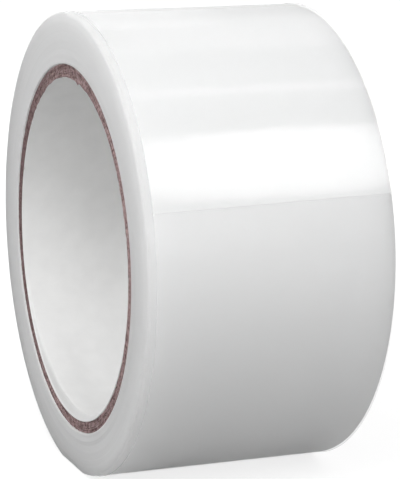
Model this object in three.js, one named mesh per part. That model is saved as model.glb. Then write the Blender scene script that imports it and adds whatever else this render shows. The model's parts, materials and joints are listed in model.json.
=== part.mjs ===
import * as THREE from 'three';

// Roll of clear weather sealing tape that stands on its rim.
// Millimetres, +Z up. The roll's axis runs along X and its front faces -Y.
// The origin lies on the floor, under the middle of the roll.

// Core: a white paper liner and chipboard plies, glued one over another.
const BORE_DIAMETER = 76.2;
const LINER_THICKNESS = 0.25;
const PLY_THICKNESS = 0.5;
const PLY_COUNT = 5;
const GLUE_LINE = 0.03;
// The core's ends lie this far inside the ends of the wound tape.
const CORE_INSET = 0.35;
// The core hangs this far below the middle of the wound tape.
const CORE_DROP = 0.9;

// Tape: a carrier film over a coat of adhesive.
const TAPE_WIDTH = 53;
const FILM_THICKNESS = 0.13;
const ADHESIVE_THICKNESS = 0.07;

// Wound tape: the inner turns, which stick together as one ring.
const CORE_FIT = 0.05;
const WINDING_DEPTH = 9.9;
// The turns stray this far to each side of the middle, so the ring is wider than the tape.
const TURN_STRAY = 1;
const RIM_BEVEL = 1;
// The roll settles on a flat of this depth.
const FLAT_DEPTH = 0.5;
// Where the ring steps down under the start of the outer turn, the step slopes over this length.
const STEP_LENGTH = 0.5;

// Outer turn: the last full turn of the strip, which winds over the ring.
const OUTER_TURN_SHIFT = 0.9;
const TURN_FIT = 0.05;
const TURN_CLEARANCE = 0.45;
const START_GAP = 0.3;

// Free end: hinged lengths of the same strip, which lie on the front of the roll.
// The cut is measured upwards from the front, in degrees.
const CUT_ANGLE = 17.7;
const TAIL_COUNT = 6;
const TAIL_STEP = 10.8;
const HINGE_GAP = 0.3;
// The left end of the cut runs further than its right end by this much.
const CUT_SLANT = 1;

// Facets round the roll.
const FACET_COUNT = 72;

const FILM_LOOK = { color: 0xeeeff0, roughness: 0.22, metalness: 0 };
const ADHESIVE_LOOK = { color: 0xe2e4e3, roughness: 0.4, metalness: 0 };
const WINDING_LOOK = { color: 0xdfe0e1, roughness: 0.35, metalness: 0 };
const LINER_LOOK = { color: 0xe9e7e3, roughness: 0.85, metalness: 0 };
const PLY_LOOK = { color: 0x8d7472, roughness: 0.95, metalness: 0 };

const { degToRad, radToDeg } = THREE.MathUtils;

const boreRadius = BORE_DIAMETER / 2;
const linerRadius = boreRadius + LINER_THICKNESS;
const plyPitch = PLY_THICKNESS + GLUE_LINE;
const coreRadius = linerRadius + PLY_COUNT * plyPitch;
const windingBore = coreRadius + CORE_FIT;
const windingRadius = windingBore + WINDING_DEPTH;
const windingWidth = TAPE_WIDTH + 2 * TURN_STRAY;
const coreLength = windingWidth - 2 * CORE_INSET;

const tapeThickness = ADHESIVE_THICKNESS + FILM_THICKNESS;
const turnPitch = tapeThickness + TURN_CLEARANCE;
const seatRadius = windingRadius + TURN_FIT;
const tapeLeft = OUTER_TURN_SHIFT - TAPE_WIDTH / 2;
const tapeRight = OUTER_TURN_SHIFT + TAPE_WIDTH / 2;

// A turn is counted in degrees along the strip, from the start of the outer turn.
const tailRadius = seatRadius + turnPitch + tapeThickness / 2;
const tailStepTurn = radToDeg(TAIL_STEP / tailRadius);
const cutTurn = 360 + TAIL_COUNT * tailStepTurn;
const startAngle = CUT_ANGLE + cutTurn - 360;
const bottomTurn = startAngle + 90;
const bottomRadius = seatRadius + turnPitch * bottomTurn / 360 + tapeThickness;
const axisHeight = bottomRadius - FLAT_DEPTH;
const coreHeight = axisHeight - CORE_DROP;
const flatHalfTurn = radToDeg(Math.acos(axisHeight / bottomRadius));
const facetTurn = 360 / FACET_COUNT;

// A point at a radius from the wound tape's axis, drawn in where the roll is flat.
function rollPoint(x, radius, turn) {
  const angle = degToRad(startAngle - turn);
  const down = -Math.sin(angle);
  const flatDistance = radius + turnPitch * (bottomTurn - turn) / 360 - FLAT_DEPTH;
  const reach = down * radius > flatDistance ? flatDistance / down : radius;
  return new THREE.Vector3(x, -reach * Math.cos(angle), axisHeight + reach * Math.sin(angle));
}

// A point on the hole that the core fills.
function corePoint(x, turn) {
  const angle = degToRad(startAngle - turn);
  const y = -windingBore * Math.cos(angle);
  const z = coreHeight + windingBore * Math.sin(angle);
  return new THREE.Vector3(x, y, z);
}

// The turns at which sections are taken: both ends, the flat's edges and the facets between.
function turnSteps(from, to) {
  const edges = [bottomTurn - flatHalfTurn, bottomTurn + flatHalfTurn];
  const fixed = [from, to, ...edges.filter((edge) => edge > from && edge < to)];
  const least = facetTurn / 12;
  const steps = [...fixed];
  for (let i = Math.ceil(from / facetTurn); i * facetTurn < to; i++) {
    const step = i * facetTurn;
    if (fixed.every((turn) => Math.abs(turn - step) > least)) {
      steps.push(step);
    }
  }
  return steps.sort((a, b) => a - b);
}

// A solid swept through sections with the same number of corners, each listed from the left
// inner corner outwards. A ring closes on itself and a strip has a cap at each end. The inner
// side is split the same way as the outer side, so that stacked layers share their facets.
function sweptSolid(sections, isRing) {
  const corners = sections[0].length;
  const spans = isRing ? sections.length : sections.length - 1;
  const index = [];
  for (let i = 0; i < spans; i++) {
    const here = i * corners;
    const next = ((i + 1) % sections.length) * corners;
    for (let j = 0; j < corners; j++) {
      const k = (j + 1) % corners;
      if (k === 0) {
        index.push(here + j, next + j, here + k);
        index.push(here + k, next + j, next + k);
      } else {
        index.push(here + j, next + j, next + k);
        index.push(here + j, next + k, here + k);
      }
    }
  }
  if (!isRing) {
    const last = (sections.length - 1) * corners;
    for (let j = 1; j < corners - 1; j++) {
      index.push(0, j, j + 1);
      index.push(last, last + j + 1, last + j);
    }
  }
  const geometry = new THREE.BufferGeometry().setFromPoints(sections.flat());
  geometry.setIndex(index);
  geometry.computeVertexNormals();
  return geometry;
}

// A tube of the core, with its facets in step with the wound tape's.
function coreTube(innerRadius, thickness) {
  const half = coreLength / 2;
  const outerRadius = innerRadius + thickness;
  const profile = [
    new THREE.Vector2(innerRadius, half),
    new THREE.Vector2(innerRadius, -half),
    new THREE.Vector2(outerRadius, -half),
    new THREE.Vector2(outerRadius, half),
    new THREE.Vector2(innerRadius, half),
  ];
  const geometry = new THREE.LatheGeometry(profile, FACET_COUNT, degToRad(90 - startAngle));
  return geometry.rotateZ(-Math.PI / 2);
}

// The ring of inner turns: its outside grows along the strip and steps down under the outer turn.
function windingRing() {
  const half = windingWidth / 2;
  const stepTurn = radToDeg(STEP_LENGTH / windingRadius);
  const sections = turnSteps(0, 360 - stepTurn).map((turn) => {
    const radius = windingRadius + turnPitch * turn / 360;
    return [
      corePoint(-half, turn),
      rollPoint(-half, radius - RIM_BEVEL, turn),
      rollPoint(RIM_BEVEL - half, radius, turn),
      rollPoint(half - RIM_BEVEL, radius, turn),
      rollPoint(half, radius - RIM_BEVEL, turn),
      corePoint(half, turn),
    ];
  });
  return sweptSolid(sections, true);
}

// One layer of the strip across its width, with the ends of a slanted cut at different turns.
function stripSection(turn, below, thickness, slantTurn) {
  const inner = seatRadius + turnPitch * turn / 360 + below;
  const outer = inner + thickness;
  return [
    rollPoint(tapeLeft, inner, turn + slantTurn),
    rollPoint(tapeLeft, outer, turn + slantTurn),
    rollPoint(tapeRight, outer, turn - slantTurn),
    rollPoint(tapeRight, inner, turn - slantTurn),
  ];
}

// One layer of the strip from one turn to another.
function stripLayer(from, to, below, thickness, slantTurn = 0) {
  const steps = turnSteps(from, to);
  const sections = steps.map((turn, i) => {
    const slant = i === steps.length - 1 ? slantTurn : 0;
    return stripSection(turn, below, thickness, slant);
  });
  return sweptSolid(sections, false);
}

// The least gap between the underside of the strip and the turn below it, on points.
function leastGapToItself() {
  const steps = turnSteps(0, cutTurn);
  let least = Infinity;
  for (const over of steps) {
    const underside = rollPoint(0, seatRadius + turnPitch * over / 360, over);
    for (const under of steps.filter((turn) => over - turn > 180)) {
      const outside = seatRadius + turnPitch * under / 360 + tapeThickness;
      least = Math.min(least, underside.distanceTo(rollPoint(0, outside, under)));
    }
  }
  return least;
}

function addPiece(group, name, geometry, look) {
  const mesh = new THREE.Mesh(geometry, new THREE.MeshStandardMaterial(look));
  mesh.name = name;
  group.add(mesh);
}

const roll = new THREE.Group();
roll.name = 'sealing_tape_roll';

const core = new THREE.Group();
core.position.z = coreHeight;
roll.add(core);

addPiece(core, 'core_liner', coreTube(boreRadius, LINER_THICKNESS), LINER_LOOK);
for (let ply = 0; ply < PLY_COUNT; ply++) {
  const innerRadius = linerRadius + GLUE_LINE + ply * plyPitch;
  addPiece(core, `core_ply_${ply + 1}`, coreTube(innerRadius, PLY_THICKNESS), PLY_LOOK);
}

addPiece(roll, 'tape_wound_body', windingRing(), WINDING_LOOK);

const halfHingeTurn = radToDeg(HINGE_GAP / 2 / tailRadius);
const startTurn = radToDeg(START_GAP / seatRadius);
const outerEnd = 360 - halfHingeTurn;
const outerAdhesive = stripLayer(startTurn, outerEnd, 0, ADHESIVE_THICKNESS);
const outerFilm = stripLayer(startTurn, outerEnd, ADHESIVE_THICKNESS, FILM_THICKNESS);
addPiece(roll, 'outer_turn_adhesive', outerAdhesive, ADHESIVE_LOOK);
addPiece(roll, 'outer_turn_film', outerFilm, FILM_LOOK);

const cutSlantTurn = radToDeg(CUT_SLANT / 2 / tailRadius);
for (let length = 0; length < TAIL_COUNT; length++) {
  const isLast = length === TAIL_COUNT - 1;
  const from = 360 + length * tailStepTurn + halfHingeTurn;
  const to = 360 + (length + 1) * tailStepTurn - (isLast ? 0 : halfHingeTurn);
  const slant = isLast ? cutSlantTurn : 0;
  const adhesive = stripLayer(from, to, 0, ADHESIVE_THICKNESS, slant);
  const film = stripLayer(from, to, ADHESIVE_THICKNESS, FILM_THICKNESS, slant);
  addPiece(roll, `tail_adhesive_${length + 1}`, adhesive, ADHESIVE_LOOK);
  addPiece(roll, `tail_film_${length + 1}`, film, FILM_LOOK);
}

console.log(`least gap of the strip to itself: ${leastGapToItself().toFixed(3)} mm`);

export default roll;
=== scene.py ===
import json
import math

import bpy
import numpy as np
from bpy.props import FloatProperty, FloatVectorProperty, PointerProperty
from mathutils import Matrix, Vector


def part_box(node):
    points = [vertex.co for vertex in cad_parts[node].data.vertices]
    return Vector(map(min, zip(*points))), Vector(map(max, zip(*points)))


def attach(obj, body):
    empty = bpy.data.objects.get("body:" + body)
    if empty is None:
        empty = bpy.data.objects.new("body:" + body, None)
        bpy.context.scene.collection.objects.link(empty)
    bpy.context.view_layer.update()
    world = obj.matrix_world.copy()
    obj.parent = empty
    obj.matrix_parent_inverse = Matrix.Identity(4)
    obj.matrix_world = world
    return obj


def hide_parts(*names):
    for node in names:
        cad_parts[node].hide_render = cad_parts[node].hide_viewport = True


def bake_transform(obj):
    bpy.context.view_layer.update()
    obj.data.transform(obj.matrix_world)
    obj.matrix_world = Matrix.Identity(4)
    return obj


bl_info = {
    "name": "Sealing tape roll",
    "version": (1, 0, 0),
    "blender": (4, 5, 0),
    "location": "View3D > Sidebar > Tape roll",
    "description": "Clear weather sealing tape on a chipboard core, with a free end that peels",
    "category": "Object",
}

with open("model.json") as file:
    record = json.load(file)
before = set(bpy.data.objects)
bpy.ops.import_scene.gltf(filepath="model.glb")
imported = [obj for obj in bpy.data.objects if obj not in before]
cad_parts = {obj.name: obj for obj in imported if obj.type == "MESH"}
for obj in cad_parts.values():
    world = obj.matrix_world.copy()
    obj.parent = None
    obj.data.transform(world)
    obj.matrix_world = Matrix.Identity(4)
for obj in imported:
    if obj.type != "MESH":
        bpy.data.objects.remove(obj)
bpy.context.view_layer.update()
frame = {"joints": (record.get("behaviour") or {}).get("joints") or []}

LINER_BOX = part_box("core_liner")
PLY_BOXES = [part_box(f"core_ply_{ply}") for ply in range(1, 6)]
WINDING_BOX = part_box("tape_wound_body")
STRIP_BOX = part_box("outer_turn_film")
HINGES = [Vector(joint["pos_m"]) for joint in frame["joints"]]
TAIL_COUNT = len(HINGES)


class TapeRollSizes(bpy.types.PropertyGroup):
    """Sizes of the roll, in metres."""
    axis_height: FloatProperty(
        name="Axis height", description="Height of the wound tape's axis above the floor",
        default=0.051024, unit="LENGTH")
    strip_radius: FloatProperty(
        name="Strip radius", description="Radius of the outer turn's outside where it starts",
        default=0.05145, unit="LENGTH")
    turn_rise: FloatProperty(
        name="Rise of a turn", description="How much the strip climbs in one turn",
        default=0.00024, unit="LENGTH")
    gauge_rise: FloatProperty(
        name="Gauge rise", description="How much thicker the roll is wound at its right end",
        default=0.00022, unit="LENGTH")
    right_reach: FloatProperty(
        name="Right reach",
        description="How far the turns reach past their middle place on the right",
        default=0.0002, unit="LENGTH")
    tape_thickness: FloatProperty(
        name="Tape thickness", description="Film and adhesive together",
        default=0.0002, unit="LENGTH")
    rim_round: FloatProperty(
        name="Rim round", description="Radius of the wound tape's rims",
        default=0.0005, unit="LENGTH")
    turn_step: FloatProperty(
        name="Turn step", description="Step at the edge of the last wound turn",
        default=0.0001, unit="LENGTH")
    liner_thickness: FloatProperty(
        name="Liner thickness", description="Thickness of the white paper in the bore",
        default=0.00025, unit="LENGTH")
    lip_height: FloatProperty(
        name="Lip height", description="How far the liner's mouth is turned in at its lowest place",
        default=0.002, unit="LENGTH")
    tip_lift: FloatProperty(
        name="Tip lift", description="How far the free end stands off the turn below it",
        default=0.00001, unit="LENGTH")
    cut_slant: FloatProperty(
        name="Cut slant", description="How much further the cut's left end runs than its right end",
        default=0.001, unit="LENGTH")


class TapeRollColours(bpy.types.PropertyGroup):
    """Colours of the roll's materials."""
    film: FloatVectorProperty(
        name="Film", description="Clear carrier film", subtype="COLOR",
        default=(0.93, 0.935, 0.94), size=3)
    winding: FloatVectorProperty(
        name="Wound tape", description="Milky stack of turns", subtype="COLOR",
        default=(0.90, 0.905, 0.91), size=3)
    liner: FloatVectorProperty(
        name="Liner paper", description="White paper in the bore", subtype="COLOR",
        default=(0.90, 0.90, 0.895), size=3)
    board: FloatVectorProperty(
        name="Chipboard", description="Cut edge of the core's plies", subtype="COLOR",
        default=(0.56, 0.40, 0.395), size=3)
    # Besides the glue lines and torn fibres, this colour is also mixed in as painted shade on the
    # far side of the ring.
    board_dark: FloatVectorProperty(
        name="Chipboard grooves", description="Glue lines and torn fibres", subtype="COLOR",
        default=(0.15, 0.092, 0.092), size=3)


class TapeRollStage(bpy.types.PropertyGroup):
    """Camera and light."""
    azimuth: FloatProperty(
        name="Azimuth", description="Camera's turn round the roll, from the front",
        default=math.radians(-20.8), subtype="ANGLE")
    elevation: FloatProperty(
        name="Elevation", description="Camera's height angle",
        default=math.radians(10.96), subtype="ANGLE")
    distance: FloatProperty(
        name="Distance", description="Camera to the middle of the roll",
        default=0.48206, unit="LENGTH")
    lens: FloatProperty(
        name="Lens", description="Focal length for a 36 mm frame height",
        default=159.9, unit="CAMERA")
    floor_bounce: FloatProperty(
        name="Floor bounce", description="Share of light that the floor throws back on the roll",
        default=0.4, min=0.0, max=1.0, subtype="FACTOR")
    room_light: FloatProperty(
        name="Room light", description="Strength of the even light from all round",
        default=0.15, min=0.0)


def roll_angle(turn):
    """Angle above the front, in radians, of a place given in degrees along the strip."""
    axis = bpy.context.scene.tape_sizes.axis_height
    first = math.atan2(HINGES[0].z - axis, -HINGES[0].y)
    return first - np.radians(turn)


def hinge_turn(number):
    """Degrees along the strip at a hinge line, counted from the start of the outer turn."""
    axis = bpy.context.scene.tape_sizes.axis_height
    first = math.atan2(HINGES[0].z - axis, -HINGES[0].y)
    second = math.atan2(HINGES[1].z - axis, -HINGES[1].y)
    return 360 + math.degrees(first - second) * number


def gauge(x):
    """How much thicker the roll is at a place along X: nothing at the left end, rising evenly."""
    low, high = WINDING_BOX[0][0], WINDING_BOX[1][0]
    return bpy.context.scene.tape_sizes.gauge_rise * (x - low) / (high - low)


def drawn_in(radius, angle, x):
    """How far the flat under the roll draws a point in: the part of the radius that reaches
    below the flat, eased over a twentieth of a millimetre."""
    sizes = bpy.context.scene.tape_sizes
    bottom = sizes.strip_radius + sizes.turn_rise / 2 + gauge(x)
    depth = bottom - sizes.axis_height
    down = np.maximum(-np.sin(angle), 0.5)
    over = radius - (radius - depth) / down
    return (over + np.hypot(over, 0.00005)) / 2


def around(x, radius, angle, height):
    """Points at a radius from an axis along X at a height, turned up from the front."""
    x, radius, angle, height = np.broadcast_arrays(x, radius, angle, height)
    y = -radius * np.cos(angle)
    return np.stack([x, y, height + radius * np.sin(angle)], axis=-1)


def waves(angle, seed, orders, fall=1.0):
    """Sum of cosines of whole orders with seeded phases, each smaller by its order to the power
    of fall. It closes after a turn and its mean square is one."""
    rng = np.random.default_rng(seed)
    order = np.asarray(orders, float)
    shape = (-1,) + (1,) * np.ndim(angle)
    phase = rng.uniform(0, 2 * np.pi, order.size).reshape(shape)
    size = (rng.uniform(0.6, 1.4, order.size) * order ** -fall).reshape(shape)
    total = (size * np.cos(order.reshape(shape) * np.asarray(angle)[None] + phase)).sum(axis=0)
    return total / math.sqrt(float((size ** 2).sum()) / 2)


def layers(position, seed):
    """Random height for each whole number of position, joined by straight lines."""
    knots = np.arange(-2, math.ceil(float(np.max(position))) + 3)
    heights = np.random.default_rng(seed).normal(size=knots.size)
    return np.interp(position, knots, heights)


def streaks(rows, columns, seed, length):
    """Random heights on a ring of rows, smoothed along the ring over a length in rows, with a
    mean square of one in each column."""
    noise = np.random.default_rng(seed).normal(size=(rows, columns))
    order = np.fft.rfftfreq(rows) * rows
    soft = np.exp(-0.5 * (order * length * 2 / rows) ** 2)
    smooth = np.fft.irfft(np.fft.rfft(noise, axis=0) * soft[:, None], n=rows, axis=0)
    return smooth / smooth.std(axis=0)


def hump(angle, middle, width):
    """Bell curve round the roll: one at the middle angle, falling over a width, in radians."""
    away = np.angle(np.exp(1j * (angle - middle)))
    return np.exp(-(away / width) ** 2)


def ease(value):
    """Smooth step from zero to one."""
    value = np.clip(value, 0, 1)
    return value * value * (3 - 2 * value)


def make_solid(name, points, is_ring, materials, looks=None, caps=(), strip=None, sharp=35):
    """Closed solid from a grid of points: each row is a closed profile, and the rows follow one
    another round a ring or along a strip with a cap at each end. Faces that would point inwards
    are turned. looks and caps number the material of each column and of the caps, and strip
    holds the length along the tape and the place across it for each point."""
    rows, columns = points.shape[:2]
    row, column = np.meshgrid(
        np.arange(rows if is_ring else rows - 1), np.arange(columns), indexing="ij")
    next_row, next_column = (row + 1) % rows, (column + 1) % columns
    quads = np.stack([
        row * columns + column, row * columns + next_column,
        next_row * columns + next_column, next_row * columns + column], axis=-1).reshape(-1, 4)
    flat = points.reshape(-1, 3)
    corner = flat[quads] - flat.mean(axis=0)
    volume = np.einsum("ij,ij->", corner[:, 0], np.cross(corner[:, 1], corner[:, 2]))
    volume += np.einsum("ij,ij->", corner[:, 0], np.cross(corner[:, 2], corner[:, 3]))
    faces = (quads if volume > 0 else quads[:, ::-1]).tolist()
    if not is_ring:
        first, last = list(range(columns)), list(range((rows - 1) * columns, rows * columns))
        faces += [first[::-1], last] if volume > 0 else [first, last[::-1]]
    mesh = bpy.data.meshes.new(name)
    mesh.from_pydata(flat.tolist(), [], faces)
    mesh.polygons.foreach_set("use_smooth", np.ones(len(faces), bool))
    for material in materials:
        mesh.materials.append(material)
    if looks is not None:
        index = np.concatenate([looks[column.ravel()], caps]).astype(np.int32)
        mesh.polygons.foreach_set("material_index", index)
    if strip is not None:
        attribute = mesh.attributes.new("strip", "FLOAT_VECTOR", "POINT")
        attribute.data.foreach_set("vector", strip.reshape(-1, 3).astype(np.float32).ravel())
    mesh.update()
    mesh.set_sharp_from_angle(angle=math.radians(sharp))
    piece = bpy.data.objects.new(name, mesh)
    bpy.context.scene.collection.objects.link(piece)
    return piece


class Nodes:
    """Short way to build a material's nodes: each call adds a node and links or sets its inputs."""

    def __init__(self, name):
        self.material = bpy.data.materials.new(name)
        self.material.use_nodes = True
        self.tree = self.material.node_tree
        self.shader = self.tree.nodes["Principled BSDF"]

    def add(self, kind, inputs=None, **settings):
        node = self.tree.nodes.new(kind)
        for key, value in settings.items():
            setattr(node, key, value)
        for key, value in (inputs or {}).items():
            self.put(node.inputs[key], value)
        return node

    def put(self, socket, value):
        if isinstance(value, bpy.types.NodeSocket):
            self.tree.links.new(value, socket)
        else:
            socket.default_value = value

    def math(self, operation, *values):
        node = self.add("ShaderNodeMath", operation=operation)
        for socket, value in zip(node.inputs, values):
            self.put(socket, value)
        return node.outputs[0]

    def vector(self, operation, *values, out="Vector"):
        node = self.add("ShaderNodeVectorMath", operation=operation)
        for socket, value in zip(node.inputs, values):
            self.put(socket, value)
        return node.outputs[out]

    def noise(self, vector, scale, detail=3.0, roughness=0.5):
        return self.add("ShaderNodeTexNoise", {
            "Vector": vector, "Scale": scale, "Detail": detail, "Roughness": roughness,
        }).outputs["Fac"]

    def ramp(self, value, low, high, to_low, to_high):
        return self.add("ShaderNodeMapRange", {
            "Value": value, "From Min": low, "From Max": high, "To Min": to_low, "To Max": to_high,
        }).outputs["Result"]

    def mix(self, factor, first, second):
        node = self.add("ShaderNodeMix", data_type="RGBA")
        self.put(node.inputs["Factor"], factor)
        self.put(node.inputs[6], first)
        self.put(node.inputs[7], second)
        return node.outputs[2]

    def bump(self, height, strength, distance):
        return self.add("ShaderNodeBump", {
            "Height": height, "Strength": strength, "Distance": distance}).outputs["Normal"]

    def polar(self, height, along, across):
        """Place on a ring round an axis along X: the direction round it times along, and the
        radius times across, so that noise stretches round the ring. A little of the place along
        X is added, so that the two ends differ."""
        place = self.add("ShaderNodeTexCoord").outputs["Object"]
        split = self.add("ShaderNodeSeparateXYZ", {"Vector": place})
        up = self.math("SUBTRACT", split.outputs["Z"], height)
        flat = self.add("ShaderNodeCombineXYZ", {"Y": split.outputs["Y"], "Z": up}).outputs[0]
        radius = self.vector("LENGTH", flat, out="Value")
        side = self.add("ShaderNodeVectorMath", {"Scale": along}, operation="SCALE")
        self.put(side.inputs[0], self.vector("NORMALIZE", flat))
        deep = self.math("MULTIPLY", radius, across)
        out = self.math("MULTIPLY_ADD", split.outputs["X"], 40.0, deep)
        shift = self.add("ShaderNodeCombineXYZ", {"X": out}).outputs[0]
        return self.vector("ADD", side.outputs[0], shift), radius

    def finish(self, **inputs):
        for key, value in inputs.items():
            self.put(self.shader.inputs[key.replace("_", " ")], value)
        return self.material


def colour(value):
    """Colour with full alpha for a socket."""
    return (*value, 1.0)


def film_material():
    """Clear glossy film: faint streaks along the tape and cloudy patches where it lies close."""
    made = Nodes("clear_film")
    place = made.add("ShaderNodeAttribute", attribute_name="strip").outputs["Vector"]
    streak = made.noise(made.vector("MULTIPLY", place, (9.0, 1500.0, 1.0)), 1.0, 2.0)
    clouds = made.noise(place, 45.0, 2.0)
    rough = made.ramp(clouds, 0.3, 0.7, 0.15, 0.19)
    height = made.math("MULTIPLY_ADD", clouds, 0.00004,
                       made.math("MULTIPLY", streak, 0.0000003))
    base = made.mix(made.ramp(clouds, 0.3, 0.7, 0.0, 1.0),
                    colour(bpy.context.scene.tape_colours.film), (0.955, 0.96, 0.965, 1.0))
    return made.finish(
        Base_Color=base, Roughness=rough, IOR=2.4, Alpha=made.ramp(clouds, 0.3, 0.7, 0.19, 0.205),
        Normal=made.bump(height, 1.0, 1.0))


def joint_material():
    """Where two stretches of one tape meet there is no surface, so nothing shows."""
    return Nodes("film_joint").finish(Alpha=0.0)


def edge_material():
    """Slit edge of the tape, greyer than its faces because light runs along inside the film."""
    return Nodes("film_edge").finish(
        Base_Color=(0.75, 0.76, 0.77, 1.0), Roughness=0.35, Alpha=0.4)


def adhesive_material():
    """Tacky coat on the underside of the tape: softer gloss with a fine orange-peel surface."""
    made = Nodes("adhesive_coat")
    place = made.add("ShaderNodeAttribute", attribute_name="strip").outputs["Vector"]
    peel = made.noise(place, 1400.0, 2.0)
    clouds = made.noise(place, 120.0, 3.0)
    return made.finish(
        Base_Color=(0.9, 0.905, 0.9, 1.0), Roughness=made.ramp(clouds, 0.3, 0.7, 0.32, 0.45),
        Alpha=0.06, Normal=made.bump(peel, 0.06, 0.00005))


def winding_material():
    """Stack of film turns seen as one milky body: soft light inside it and fine rings on its ends,
    one for each turn, with a few stronger ones. Beside the core its colour is painted paler, a
    painted light that fills the shade where the soft light inside falls short."""
    sizes = bpy.context.scene.tape_sizes
    made = Nodes("milky_turns")
    place, radius = made.polar(sizes.axis_height, 2.0, 5000.0)
    rings = made.noise(place, 1.0, 2.0)
    broad, _ = made.polar(sizes.axis_height, 1.2, 1100.0)
    bands = made.noise(broad, 1.0, 3.0)
    base = made.mix(made.ramp(bands, 0.3, 0.7, 0.0, 1.0),
                    colour(bpy.context.scene.tape_colours.winding), (0.925, 0.93, 0.935, 1.0))
    height = made.math("ADD", rings, made.math("MULTIPLY", bands, 0.8))
    core_edge, milky_from, glow = 0.0406, 0.05, (0.022, 0.022, 0.022)
    # Painted light: from the core's edge out to a radius of 50 mm the colour is lifted towards near
    # white, standing in for light that the soft light inside loses beside the core.
    inner = made.ramp(radius, core_edge, milky_from, 0.0, 1.0)
    base = made.mix(inner, (0.985, 0.988, 0.99, 1.0), base)
    return made.finish(
        Base_Color=base, Roughness=made.ramp(rings, 0.3, 0.7, 0.36, 0.5),
        Subsurface_Weight=made.ramp(inner, 0.0, 1.0, 0.3, 0.95),
        Subsurface_Radius=glow, Subsurface_Scale=1.0,
        Specular_IOR_Level=0.25, Normal=made.bump(height, 0.15, 0.00005))


def liner_material():
    """White kraft paper: fine fibres and a slight cloudiness."""
    made = Nodes("liner_paper")
    place = made.add("ShaderNodeTexCoord").outputs["Object"]
    fibres = made.noise(made.vector("MULTIPLY", place, (700.0, 2600.0, 2600.0)), 1.0, 4.0, 0.65)
    clouds = made.noise(place, 260.0, 3.0)
    base = made.mix(made.ramp(clouds, 0.3, 0.7, 0.0, 1.0),
                    colour(bpy.context.scene.tape_colours.liner), (0.935, 0.935, 0.93, 1.0))
    return made.finish(
        Base_Color=base, Roughness=0.85, Specular_IOR_Level=0.3,
        Normal=made.bump(fibres, 0.18, 0.00008))


def board_material():
    """Cut chipboard: fibre streaks round the ring, fine teeth across it, pale torn flecks, and
    painted shade that darkens the far side of the ring towards the groove colour."""
    colours = bpy.context.scene.tape_colours
    made = Nodes("chipboard")
    middle = (LINER_BOX[0][2] + LINER_BOX[1][2]) / 2
    long, _ = made.polar(middle, 9.0, 4200.0)
    streak = made.noise(long, 1.0, 4.0, 0.6)
    cross, _ = made.polar(middle, 95.0, 900.0)
    teeth = made.noise(cross, 1.0, 3.0, 0.6)
    short, _ = made.polar(middle, 22.0, 2400.0)
    torn = made.noise(short, 1.0, 3.0, 0.6)
    grain = made.math("MULTIPLY_ADD", teeth, 1.1, made.math("MULTIPLY", streak, 0.7))
    base = made.mix(made.ramp(grain, 0.78, 1.0, 0.0, 1.0),
                    colour(colours.board_dark), colour(colours.board))
    base = made.mix(made.ramp(torn, 0.56, 0.68, 0.0, 0.75), base, (0.60, 0.50, 0.49, 1.0))
    # Painted shade: the colour is darkened towards the groove colour on the far side of the ring (Y
    # from 12 to 36 mm), standing in for shade that falls there.
    place = made.add("ShaderNodeTexCoord").outputs["Object"]
    back = made.add("ShaderNodeSeparateXYZ", {"Vector": place}).outputs["Y"]
    base = made.mix(made.ramp(back, 0.012, 0.036, 0.0, 0.6), base, colour(colours.board_dark))
    height = made.math("ADD", grain, torn)
    return made.finish(
        Base_Color=base, Roughness=0.95, Specular_IOR_Level=0.15,
        Normal=made.bump(height, 0.5, 0.00012))


class TAPE_OT_liner(bpy.types.Operator):
    """White paper liner of the bore, with its mouth turned in at the bottom"""
    bl_idname = "tape_roll.liner"
    bl_label = "Bore liner"

    def execute(self, context):
        """The profile runs along the bore, round the far edge, back outside and round the near
        edge. Just inside the near mouth a fold stands up, highest at the bottom and falling off
        round the bore as a bell curve: it rises over a millimetre and sinks again over twelve."""
        sizes = context.scene.tape_sizes
        low, high = LINER_BOX
        half, height = high[0], (low[2] + high[2]) / 2
        outer = (high[2] - low[2]) / 2
        bore = outer - sizes.liner_thickness
        angle = np.radians(np.arange(0, 360, 1.0))[:, None]
        depth = np.concatenate([
            np.linspace(0, 0.0018, 16), np.linspace(0.0024, 0.015, 22),
            np.linspace(0.017, 2 * half - 0.0045, 20),
            np.linspace(2 * half - 0.003, 2 * half, 14)])
        lowest, rise, sink = math.radians(-102), 0.0009, 0.012
        near_lip = sizes.lip_height * hump(angle, lowest, 0.66)
        near_lip = near_lip * (1 + 0.05 * waves(angle, 3, range(3, 22), 0.6))
        far_lip = 0.0005 * hump(angle, math.radians(-60), 0.5)
        near = ease(depth / rise) * (1 - ease((depth - rise) / sink))
        far = ease(1 - (2 * half - depth) / 0.0022) ** 1.5
        ripple = 0.00004 * waves(angle + depth * 9, 5, range(2, 9), 0.8)
        mouth = hump(angle, math.radians(-98), 0.8)
        inner = bore - near_lip * near - far_lip * far + ripple
        inner = inner + 0.0002 * mouth * (1 - ease(depth / 0.0005))
        near_edge = -half - 0.00012 * mouth + 0.0003 * hump(angle, math.radians(80), 1.2)
        x_inner = near_edge + depth * (half - near_edge) / (2 * half)
        back = np.array([half, half - 0.0005, 0, -half + 0.0006])
        x_back = np.broadcast_to(back, (360, 4))
        r_back = np.broadcast_to(outer - 0.00002, (360, 4))
        steps = np.array([0.1, 0.5, 0.9])
        flare = outer + 0.0002 * mouth - 0.00002
        r_edge = flare + (inner[:, :1] - flare) * steps
        x_edge = near_edge - 0.00004 * np.sin(np.pi * steps)
        x = np.concatenate([x_inner, x_back, x_edge], axis=1)
        radius = np.concatenate([inner, r_back, r_edge], axis=1)
        piece = make_solid(
            "bore_liner", around(x, radius, angle, height), True, [liner_material()])
        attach(piece, "roll")
        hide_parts("core_liner")
        return {"FINISHED"}


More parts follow.
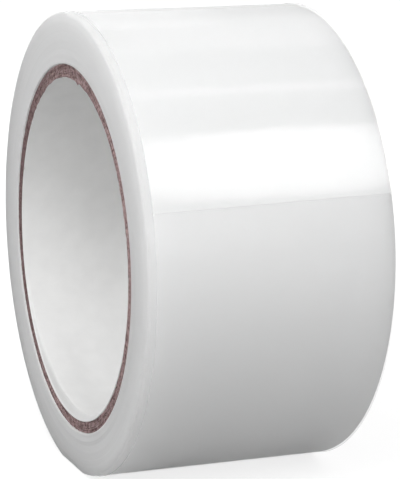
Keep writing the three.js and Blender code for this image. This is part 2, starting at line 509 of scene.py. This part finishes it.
class TAPE_OT_plies(bpy.types.Operator):
    """Chipboard plies of the core, with rough cut ends"""
    bl_idname = "tape_roll.plies"
    bl_label = "Core plies"

    def execute(self, context):
        """Each ply is a tube whose ends are drawn in by streaks along the ring and rounded at
        their corners; the inner ply's near edge has a burr, and the outer ply's outside is white
        where the first turn of tape sticks to it."""
        material = board_material()
        rows, face = 720, 9
        angle = np.radians(np.arange(rows) * 360 / rows)[:, None]
        across = np.linspace(0, 1, face)
        for ply, (low, high) in enumerate(PLY_BOXES):
            half, height = high[0], (low[2] + high[2]) / 2
            outer = (high[2] - low[2]) / 2
            inner = outer - 0.0005
            corner = 0.00011 * (2 * np.abs(across - 0.5)) ** 6
            ends = []
            for end in range(2):
                rough = streaks(rows, face, 40 + 7 * ply + end, 5.0)
                rough = 0.000035 * rough + 0.00003 * streaks(rows, face, 90 + ply + end, 1.2)
                ends.append(half - corner - np.abs(rough))
            radius = inner + (outer - inner) * np.broadcast_to(across, (rows, face))
            near_radius = radius.copy()
            if ply == 0:
                burr = 0.00012 + 0.0002 * np.sin(angle)
                burr = burr + 0.00007 * waves(angle, 17, range(5, 90), 0.3)
                tuft_angle, tuft_width = math.radians(81.5), 0.014
                burr = burr + 0.0006 * hump(angle, tuft_angle, tuft_width)
                near_radius -= np.clip(burr, -0.0003, 1) * (1 - across) ** 2
            if ply == len(PLY_BOXES) - 1:
                edge = 0.00005 * waves(angle, 23, range(9, 120), 0.3)
                near_radius += np.minimum(edge, 0.00003) * across ** 3
            within = np.full((rows, 1), inner)
            x = np.concatenate([-ends[0], ends[1][:, ::-1], 0 * within - half + 0.0005], axis=1)
            r = np.concatenate([near_radius, radius[:, ::-1], within], axis=1)
            looks = np.zeros(2 * face + 1, int)
            looks[face - 1] = 1 if ply == len(PLY_BOXES) - 1 else 0
            piece = make_solid(
                f"chipboard_ply_{ply + 1}", around(x, r, angle, height), True,
                [material, bpy.data.materials["liner_paper"]], looks=looks, sharp=60)
            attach(piece, "roll")
            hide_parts(f"core_ply_{ply + 1}")
        return {"FINISHED"}


class TAPE_OT_winding(bpy.types.Operator):
    """Wound inner turns, stuck together as one milky ring"""
    bl_idname = "tape_roll.winding"
    bl_label = "Wound tape"

    def execute(self, context):
        """Rings of points from the core's circle to the strip's spiral: the radius and the axis
        height go from one to the other, the ends step in and out by turn, the rims are quarter
        rounds and the bottom is drawn in to the flat."""
        sizes = context.scene.tape_sizes
        half = WINDING_BOX[1][0]
        core = PLY_BOXES[-1]
        core_height = (core[0][2] + core[1][2]) / 2
        inner = (core[1][2] - core[0][2]) / 2 + 0.00004
        turn = np.arange(0, 360, 0.75)[:, None]
        angle = roll_angle(turn)
        outer = sizes.strip_radius - sizes.tape_thickness - 0.00002
        outer = outer + sizes.turn_rise * turn / 360
        edge, rim, step = 0.00025, sizes.rim_round, sizes.turn_step
        bend = np.radians(np.linspace(0, 90, 4)[:-1])
        swing = np.radians(np.linspace(0, 90, 9)[1:])
        share = np.linspace(0, 1, 58)
        rim_in = np.concatenate([
            rim * (1 - np.cos(swing)), rim + np.array([0.1, 0.15, 0.19, 0.25]) * 0.001])
        rim_drop = np.concatenate([
            step + rim * (1 - np.sin(swing)), step * np.array([1, 0.8, 0.2, 0])])
        flat = np.zeros(rim_in.size)
        b = np.concatenate([np.zeros(3), share, flat + 1])
        a = np.concatenate([
            edge * (1 - np.cos(bend)), edge * (1 - share) - (rim + step) * share, -rim_drop])
        x_end = np.concatenate([edge * (1 - np.sin(bend)), np.zeros(58), rim_in])
        on_face = np.concatenate([np.zeros(3), np.sin(np.pi * share) ** 0.25, flat])

        def end_profile(seed):
            radius = inner + a + b * (outer - inner)
            position = (radius - inner) / 0.0002
            fine = layers(position, seed) * 0.00002
            broad = layers(position / 5, seed + 1) * 0.00004
            slow = 1 + 0.4 * waves(angle, seed + 2, range(1, 4))
            return x_end + (fine + broad * slow + 0.00006) * on_face, radius

        x_near, radius = end_profile(301)
        x_far, _ = end_profile(401)
        far = half + sizes.right_reach
        barrel = np.linspace(rim_in[-1] - half, far - rim_in[-1], 16)[1:-1]
        rows = turn.shape[0]
        ones = np.ones((rows, barrel.size))
        x = np.concatenate([-half + x_near, barrel * ones, (far - x_far)[:, ::-1]], axis=1)
        b_all = np.concatenate([b, np.ones(barrel.size), b[::-1]])
        r_all = np.concatenate([radius, outer * ones, radius[:, ::-1]], axis=1)
        r_all = r_all + gauge(x) * b_all - drawn_in(outer + gauge(x), angle, x) * b_all ** 2
        height = core_height + (sizes.axis_height - core_height) * b_all
        piece = make_solid(
            "wound_turns", around(x, r_all, angle, height), True, [winding_material()], sharp=50)
        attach(piece, "roll")
        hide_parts("tape_wound_body")
        return {"FINISHED"}


def strip_points(turn, across, lift):
    """Closed profile of the tape at each turn: its outside from left to right and its underside
    back again, with softened edges, on the spiral that climbs by one rise a turn, drawn in over
    the flat. Also gives each point's length along the tape and place across it."""
    sizes = bpy.context.scene.tape_sizes
    left, right = STRIP_BOX[0][0], STRIP_BOX[1][0] + sizes.right_reach
    soft = 0.00004
    side = left + (right - left) * across
    columns = across.size
    drop = np.zeros(columns)
    drop[[0, -1]] = soft
    x = np.concatenate([side, side[::-1]])
    down = np.concatenate([drop, sizes.tape_thickness - drop])
    turn = np.concatenate([turn, turn[:, ::-1]], axis=1)
    lift = np.concatenate([lift, lift[:, ::-1]], axis=1)
    angle = roll_angle(turn)
    spiral = sizes.strip_radius + sizes.turn_rise * turn / 360 + gauge(x)
    wander = 0.00005 * np.sin(turn / 47) + 0.00003 * np.sin(turn / 17 + 1)
    radius = spiral - down + lift - drawn_in(spiral, angle, x)
    points = around(x + wander, radius, angle, sizes.axis_height)
    length = np.radians(turn) * sizes.strip_radius
    strip = np.stack(np.broadcast_arrays(length, x, down), axis=-1)
    return points, strip


def add_strip(name, start, end, rows, caps, lift=None, slant=0.0):
    """One stretch of the tape from one turn to another; a slant in degrees turns its far end.
    Its underside takes the second material, caps where it meets another stretch the third, and
    its side edges the fourth."""
    materials = [bpy.data.materials[key] for key in (
        "clear_film", "adhesive_coat", "film_joint", "film_edge")]
    across = np.concatenate([[0, 0.0008], np.linspace(0.02, 0.98, 33), [0.9992, 1]])
    along = np.linspace(0, 1, rows)[:, None]
    turn = start + along * (end + slant * (0.5 - across) - start)
    lift = np.zeros_like(turn) if lift is None else lift(turn, across)
    points, strip = strip_points(turn, across, lift)
    looks = np.repeat([0, 1], across.size)
    looks[[across.size - 1, -1]] = 3
    return make_solid(name, points, False, materials, looks=looks, caps=caps, strip=strip)


class TAPE_OT_outer_turn(bpy.types.Operator):
    """Last full turn of the strip, film over adhesive"""
    bl_idname = "tape_roll.outer_turn"
    bl_label = "Outer turn"

    def execute(self, context):
        """The strip's profile carried along the spiral for one turn, up to the peel line."""
        film_material(), adhesive_material(), joint_material(), edge_material()
        piece = add_strip("outer_turn", 0.35, 360, 541, (0, 2))
        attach(piece, "roll")
        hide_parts("outer_turn_film", "outer_turn_adhesive")
        return {"FINISHED"}


class TAPE_OT_free_end(bpy.types.Operator):
    """Free end of the tape, which peels off the front"""
    bl_idname = "tape_roll.free_end"
    bl_label = "Free end"

    def execute(self, context):
        """Stretches of the strip that meet halfway between hinge lines, each spanning one hinge
        line; the last one ends in the slanted cut, stands off a little and is attached to the last
        tail's body, and the others are attached to no body."""
        sizes = context.scene.tape_sizes
        cut = hinge_turn(TAIL_COUNT)
        slant = math.degrees(sizes.cut_slant / sizes.strip_radius)

        def lift(turn, across):
            tip = np.clip((turn - (cut - 11)) / 11, 0, 1.1) ** 2
            return sizes.tip_lift * tip * (1 + 0.7 * (1 - across) ** 6)

        def middle(number):
            turn = hinge_turn(number - 0.5)
            place = around(0.0, sizes.strip_radius, roll_angle(turn), sizes.axis_height)
            return turn, tuple(place)

        start = (hinge_turn(0), tuple(HINGES[0]))
        for number in range(1, TAIL_COUNT + 1):
            end = middle(number)
            piece = add_strip(f"free_end_{number}", start[0], end[0], 25, (2, 2), lift)
            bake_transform(piece)
            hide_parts(f"tail_film_{number}", f"tail_adhesive_{number}")
            start = end
        tip = add_strip("free_end_tip", start[0], cut, 25, (2, 1), lift, slant)
        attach(tip, f"tail_{TAIL_COUNT}")
        return {"FINISHED"}


SOFTBOXES = (
    # name, shape, azimuth and elevation in degrees, distance, width, height in metres, strength
    ("key", "ELLIPSE", 29.8, 39.5, 0.9, 0.26, 0.5, 3.3),
    ("left_low", "RECTANGLE", -45, 15, 0.9, 0.5, 0.4, 1.95),
    ("left_high", "RECTANGLE", -45, 65, 0.9, 0.5, 0.5, 1.2),
    ("left_near", "RECTANGLE", -50, 50, 0.45, 0.3, 0.3, 3.6),
    ("front_low", "RECTANGLE", 0, 12, 0.9, 0.5, 0.3, 2.75),
    ("right_high", "RECTANGLE", 72.6, 68.6, 0.9, 0.5, 0.05, 1.8),
    ("right_side", "RECTANGLE", 65, 35, 0.9, 0.5, 0.5, 0.4),
    ("right_back", "RECTANGLE", 130, 40, 0.9, 0.6, 0.5, 0.7),
    ("back", "RECTANGLE", 180, 30, 0.9, 0.7, 0.5, 0.6),
)


class TAPE_OT_stage(bpy.types.Operator):
    """Floor, softboxes, room light and camera"""
    bl_idname = "tape_roll.stage"
    bl_label = "Stage"

    def floor(self, stage):
        mesh = bpy.data.meshes.new("floor")
        mesh.from_pydata([(-4, -4, 0), (4, -4, 0), (4, 4, 0), (-4, 4, 0)], [], [(0, 1, 2, 3)])
        made = Nodes("pale_floor")
        nodes, links = made.tree.nodes, made.tree.links
        nodes.remove(made.shader)
        bounce = made.add("ShaderNodeBsdfDiffuse", {"Color": colour((stage.floor_bounce,) * 3)})
        shown = made.add("ShaderNodeBsdfDiffuse", {"Color": colour((0.4,) * 3)})
        place = made.add("ShaderNodeTexCoord").outputs["Object"]
        away = made.vector("LENGTH", place, out="Value")
        near, far, dimmed = 0.05, 0.3, 0.78
        white = made.ramp(away, near, far, dimmed, 1.0)
        glow = made.add("ShaderNodeEmission", {"Strength": white})
        pale = made.add("ShaderNodeAddShader")
        links.new(shown.outputs[0], pale.inputs[0])
        links.new(glow.outputs[0], pale.inputs[1])
        path = made.add("ShaderNodeLightPath")
        seen = made.math("MAXIMUM", path.outputs["Is Camera Ray"], path.outputs["Is Glossy Ray"])
        seen = made.math("MAXIMUM", seen, path.outputs["Is Transmission Ray"])
        both = made.add("ShaderNodeMixShader", {"Fac": seen})
        links.new(bounce.outputs[0], both.inputs[1])
        links.new(pale.outputs[0], both.inputs[2])
        links.new(both.outputs[0], nodes["Material Output"].inputs["Surface"])
        mesh.materials.append(made.material)
        plane = bpy.data.objects.new("floor", mesh)
        bpy.context.scene.collection.objects.link(plane)

    def room(self, stage):
        world = bpy.data.worlds.new("white_room")
        world.use_nodes = True
        tree = world.node_tree
        tree.nodes.clear()
        light = tree.nodes.new("ShaderNodeBackground")
        light.inputs["Color"].default_value = (1, 1, 1, 1)
        light.inputs["Strength"].default_value = stage.room_light
        white = tree.nodes.new("ShaderNodeBackground")
        white.inputs["Color"].default_value = (1, 1, 1, 1)
        white.inputs["Strength"].default_value = 1.0
        path = tree.nodes.new("ShaderNodeLightPath")
        mix = tree.nodes.new("ShaderNodeMixShader")
        out = tree.nodes.new("ShaderNodeOutputWorld")
        seen = path.outputs["Is Camera Ray"]
        for ray in ("Is Glossy Ray", "Is Transmission Ray"):
            either = tree.nodes.new("ShaderNodeMath")
            either.operation = "MAXIMUM"
            tree.links.new(seen, either.inputs[0])
            tree.links.new(path.outputs[ray], either.inputs[1])
            seen = either.outputs[0]
        tree.links.new(seen, mix.inputs[0])
        tree.links.new(light.outputs[0], mix.inputs[1])
        tree.links.new(white.outputs[0], mix.inputs[2])
        tree.links.new(mix.outputs[0], out.inputs["Surface"])
        bpy.context.scene.world = world

    def softbox(self, middle, name, shape, azimuth, elevation, distance, width, height, strength):
        """Area lamp whose upper and lower edges run along the roll's axis."""
        turn, rise = math.radians(azimuth), math.radians(elevation)
        away = Vector((math.sin(turn) * math.cos(rise), -math.cos(turn) * math.cos(rise),
                       math.sin(rise)))
        side = (Vector((1, 0, 0)) - away * away.x).normalized()
        light = bpy.data.lights.new(f"softbox_{name}", "AREA")
        light.shape = shape
        light.size, light.size_y = width, height
        light.energy = strength * math.pi * width * height
        lamp = bpy.data.objects.new(f"softbox_{name}", light)
        lamp.location = middle + away * distance
        lamp.rotation_mode = "QUATERNION"
        axes = Matrix((side, away.cross(side), away)).transposed()
        lamp.rotation_quaternion = axes.to_quaternion()
        lamp.visible_camera = False
        bpy.context.scene.collection.objects.link(lamp)

    def camera(self, stage, middle):
        turn, rise = stage.azimuth, stage.elevation
        back = Vector((math.sin(turn) * math.cos(rise), -math.cos(turn) * math.cos(rise),
                       math.sin(rise)))
        right = Vector((math.cos(turn), math.sin(turn), 0))
        up = back.cross(right)
        lens = bpy.data.cameras.new("camera")
        lens.lens, lens.sensor_width, lens.sensor_fit = stage.lens, 36, "AUTO"
        lens.clip_start, lens.clip_end = 0.01, 20
        eye = bpy.data.objects.new("camera", lens)
        eye.location = middle + back * stage.distance
        aside, below = 0.003347, 0.000673
        aim = middle + right * aside - up * below
        eye.rotation_mode = "QUATERNION"
        eye.rotation_quaternion = (aim - eye.location).to_track_quat("-Z", "Y")
        bpy.context.scene.collection.objects.link(eye)
        bpy.context.scene.camera = eye

    def execute(self, context):
        stage = context.scene.tape_stage
        middle = Vector((0, 0, context.scene.tape_sizes.axis_height))
        self.floor(stage)
        self.room(stage)
        for box in SOFTBOXES:
            self.softbox(middle, *box)
        self.camera(stage, middle)
        # Light goes in and out through up to four faces of clear tape, each way.
        context.scene.cycles.transparent_max_bounces = 32
        context.scene.view_settings.view_transform = "Standard"
        return {"FINISHED"}


class TAPE_PT_panel(bpy.types.Panel):
    """Lists the roll's pieces and its stage"""
    bl_idname = "TAPE_PT_panel"
    bl_label = "Tape roll"
    bl_space_type = "VIEW_3D"
    bl_region_type = "UI"
    bl_category = "Tape roll"

    def draw(self, context):
        for operator in OPERATORS:
            self.layout.operator(operator.bl_idname)
        for group in ("tape_sizes", "tape_colours", "tape_stage"):
            settings = getattr(context.scene, group)
            box = self.layout.box()
            for name in settings.__annotations__:
                box.prop(settings, name)


GROUPS = {
    "tape_sizes": TapeRollSizes, "tape_colours": TapeRollColours, "tape_stage": TapeRollStage}
OPERATORS = (
    TAPE_OT_stage, TAPE_OT_liner, TAPE_OT_plies, TAPE_OT_winding, TAPE_OT_outer_turn,
    TAPE_OT_free_end)


def register():
    for name, group in GROUPS.items():
        bpy.utils.register_class(group)
        setattr(bpy.types.Scene, name, PointerProperty(type=group))
    for operator in OPERATORS:
        bpy.utils.register_class(operator)
    bpy.utils.register_class(TAPE_PT_panel)


def unregister():
    bpy.utils.unregister_class(TAPE_PT_panel)
    for operator in reversed(OPERATORS):
        bpy.utils.unregister_class(operator)
    for name, group in reversed(GROUPS.items()):
        delattr(bpy.types.Scene, name)
        bpy.utils.unregister_class(group)


def main():
    register()
    bpy.ops.tape_roll.stage()
    bpy.ops.tape_roll.liner()
    bpy.ops.tape_roll.plies()
    bpy.ops.tape_roll.winding()
    bpy.ops.tape_roll.outer_turn()
    bpy.ops.tape_roll.free_end()


if __name__ == "__main__":
    main()
